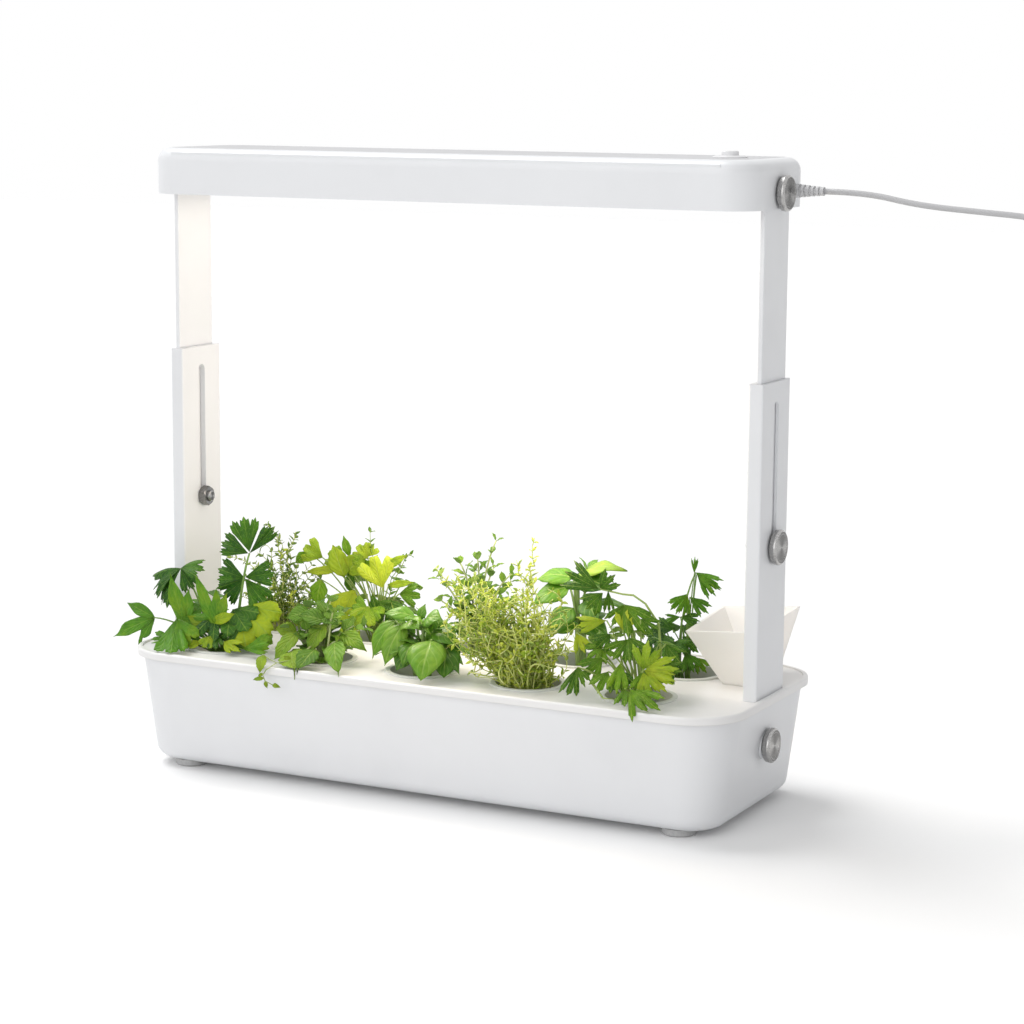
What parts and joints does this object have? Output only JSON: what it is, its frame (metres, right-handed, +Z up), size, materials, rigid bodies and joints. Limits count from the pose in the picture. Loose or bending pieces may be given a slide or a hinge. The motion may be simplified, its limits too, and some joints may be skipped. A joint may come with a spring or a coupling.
{
  "type": "countertop hydroponic garden",
  "caption": "Low oblong water tray with a lid of net pots and herbs, telescoping posts at its ends, a flat lamp across them, a filling hopper and a mains lead.",
  "frame": {"origin": "on the table under the middle of the tray", "axes": "+X to the end with the button, the filler and the cable, +Y to the back, +Z up"},
  "size_m": [0.7755, 0.188, 0.4556],
  "materials": {
    "tray_plastic": "satin",
    "foot_rubber": "satin",
    "plate_plastic": "satin",
    "sleeve_plastic": "satin",
    "post_paint": "satin",
    "knob_metal": "satin",
    "nut_steel": "satin",
    "washer_rubber": "matte",
    "lamp_plastic": "satin",
    "cover_plastic": "satin",
    "led_board_metal": "satin",
    "diffuser_plastic": "satin",
    "button_plastic": "satin",
    "bezel_plastic": "satin",
    "board_laminate": "satin",
    "hopper_plastic": "satin",
    "pot_plastic": "satin",
    "sponge_foam": "matte",
    "parsley_leaf": "satin",
    "celery_leaf": "satin",
    "mint_leaf": "satin",
    "basil_leaf": "satin",
    "thyme_leaf": "satin",
    "relief_plastic": "satin",
    "cable_jacket": "satin",
    "adapter_plastic": "satin",
    "pin_metal": "satin"
  },
  "bodies": {
    "base": {"water_tray": "tray_plastic", "tray_feet": "foot_rubber", "pot_plate": "plate_plastic", "left_sleeve": "sleeve_plastic", "right_sleeve": "sleeve_plastic", "tray_nuts": "nut_steel", "tray_washers": "washer_rubber", "lamp_cable": "cable_jacket", "cable_coil": "cable_jacket", "power_adapter": "adapter_plastic", "adapter_pins": "pin_metal"},
    "lamp_carrier": {"left_post": "post_paint", "right_post": "post_paint", "post_nuts": "nut_steel", "post_washers": "washer_rubber"},
    "lamp_head": {"lamp_housing": "lamp_plastic", "lamp_top_cover": "cover_plastic", "led_board": "led_board_metal", "diffuser": "diffuser_plastic", "button_bezel": "bezel_plastic", "control_board": "board_laminate", "strain_relief": "relief_plastic"},
    "button": {"push_button": "button_plastic"},
    "hopper": {"filling_hopper": "hopper_plastic"},
    "left_tray_knob": {"left_tray_knob": "knob_metal"},
    "right_tray_knob": {"right_tray_knob": "knob_metal"},
    "left_slot_knob": {"left_slot_knob": "knob_metal"},
    "right_slot_knob": {"right_slot_knob": "knob_metal"},
    "left_lamp_knob": {"left_lamp_knob": "knob_metal"},
    "right_lamp_knob": {"right_lamp_knob": "knob_metal"},
    "pot_front_1": {"net_pot_front_1": "pot_plastic", "sponge_front_1": "sponge_foam", "herb_front_1": "parsley_leaf"},
    "pot_front_2": {"net_pot_front_2": "pot_plastic", "sponge_front_2": "sponge_foam", "herb_front_2": "mint_leaf"},
    "pot_front_3": {"net_pot_front_3": "pot_plastic", "sponge_front_3": "sponge_foam", "herb_front_3": "basil_leaf"},
    "pot_front_4": {"net_pot_front_4": "pot_plastic", "sponge_front_4": "sponge_foam", "herb_front_4": "thyme_leaf"},
    "pot_front_5": {"net_pot_front_5": "pot_plastic", "sponge_front_5": "sponge_foam", "herb_front_5": "celery_leaf"},
    "pot_back_1": {"net_pot_back_1": "pot_plastic", "sponge_back_1": "sponge_foam", "herb_back_1": "thyme_leaf"},
    "pot_back_2": {"net_pot_back_2": "pot_plastic", "sponge_back_2": "sponge_foam", "herb_back_2": "celery_leaf"},
    "pot_back_3": {"net_pot_back_3": "pot_plastic", "sponge_back_3": "sponge_foam", "herb_back_3": "mint_leaf"},
    "pot_back_4": {"net_pot_back_4": "pot_plastic", "sponge_back_4": "sponge_foam", "herb_back_4": "basil_leaf"},
    "pot_back_5": {"net_pot_back_5": "pot_plastic", "sponge_back_5": "sponge_foam", "herb_back_5": "parsley_leaf"}
  },
  "joints": [
    {"name": "lamp_height", "type": "slide", "parent": "base", "child": "lamp_carrier", "axis": [0, 0, 1], "range_m": [0, 0.095], "deforming": ["lamp_cable"]},
    {"name": "lamp_tilt", "type": "hinge", "parent": "lamp_carrier", "child": "lamp_head", "pos_m": [0, 0, 0.4284], "axis": [1, 0, 0], "range_deg": [-15, 15]},
    {"name": "button_press", "type": "slide", "parent": "lamp_head", "child": "button", "axis": [0, 0, -1], "range_m": [0, 0.0015], "stiffness_N_per_m": 600, "springref_m": -0.001},
    {"name": "hopper_lift", "type": "slide", "parent": "base", "child": "hopper", "axis": [0, 0, 1], "range_m": [0, 0.03]},
    {"name": "left_tray_screw", "type": "hinge", "parent": "base", "child": "left_tray_knob", "pos_m": [-0.234, 0, 0.052], "axis": [-1, 0, 0], "range_deg": [0, 180]},
    {"name": "right_tray_screw", "type": "hinge", "parent": "base", "child": "right_tray_knob", "pos_m": [0.234, 0, 0.052], "axis": [1, 0, 0], "range_deg": [0, 180]},
    {"name": "left_slot_screw", "type": "hinge", "parent": "lamp_carrier", "child": "left_slot_knob", "pos_m": [-0.236, 0, 0.19], "axis": [-1, 0, 0], "range_deg": [0, 180]},
    {"name": "right_slot_screw", "type": "hinge", "parent": "lamp_carrier", "child": "right_slot_knob", "pos_m": [0.236, 0, 0.19], "axis": [1, 0, 0], "range_deg": [0, 180]},
    {"name": "left_lamp_screw", "type": "hinge", "parent": "lamp_carrier", "child": "left_lamp_knob", "pos_m": [-0.236, 0, 0.4284], "axis": [-1, 0, 0], "range_deg": [0, 180]},
    {"name": "right_lamp_screw", "type": "hinge", "parent": "lamp_carrier", "child": "right_lamp_knob", "pos_m": [0.236, 0, 0.4284], "axis": [1, 0, 0], "range_deg": [0, 180]},
    {"name": "pot_front_1_lift", "type": "slide", "parent": "base", "child": "pot_front_1", "axis": [0, 0, 1], "range_m": [0, 0.06]},
    {"name": "pot_front_2_lift", "type": "slide", "parent": "base", "child": "pot_front_2", "axis": [0, 0, 1], "range_m": [0, 0.06]},
    {"name": "pot_front_3_lift", "type": "slide", "parent": "base", "child": "pot_front_3", "axis": [0, 0, 1], "range_m": [0, 0.06]},
    {"name": "pot_front_4_lift", "type": "slide", "parent": "base", "child": "pot_front_4", "axis": [0, 0, 1], "range_m": [0, 0.06]},
    {"name": "pot_front_5_lift", "type": "slide", "parent": "base", "child": "pot_front_5", "axis": [0, 0, 1], "range_m": [0, 0.06]},
    {"name": "pot_back_1_lift", "type": "slide", "parent": "base", "child": "pot_back_1", "axis": [0, 0, 1], "range_m": [0, 0.06]},
    {"name": "pot_back_2_lift", "type": "slide", "parent": "base", "child": "pot_back_2", "axis": [0, 0, 1], "range_m": [0, 0.06]},
    {"name": "pot_back_3_lift", "type": "slide", "parent": "base", "child": "pot_back_3", "axis": [0, 0, 1], "range_m": [0, 0.06]},
    {"name": "pot_back_4_lift", "type": "slide", "parent": "base", "child": "pot_back_4", "axis": [0, 0, 1], "range_m": [0, 0.06]},
    {"name": "pot_back_5_lift", "type": "slide", "parent": "base", "child": "pot_back_5", "axis": [0, 0, 1], "range_m": [0, 0.007]}
  ]
}
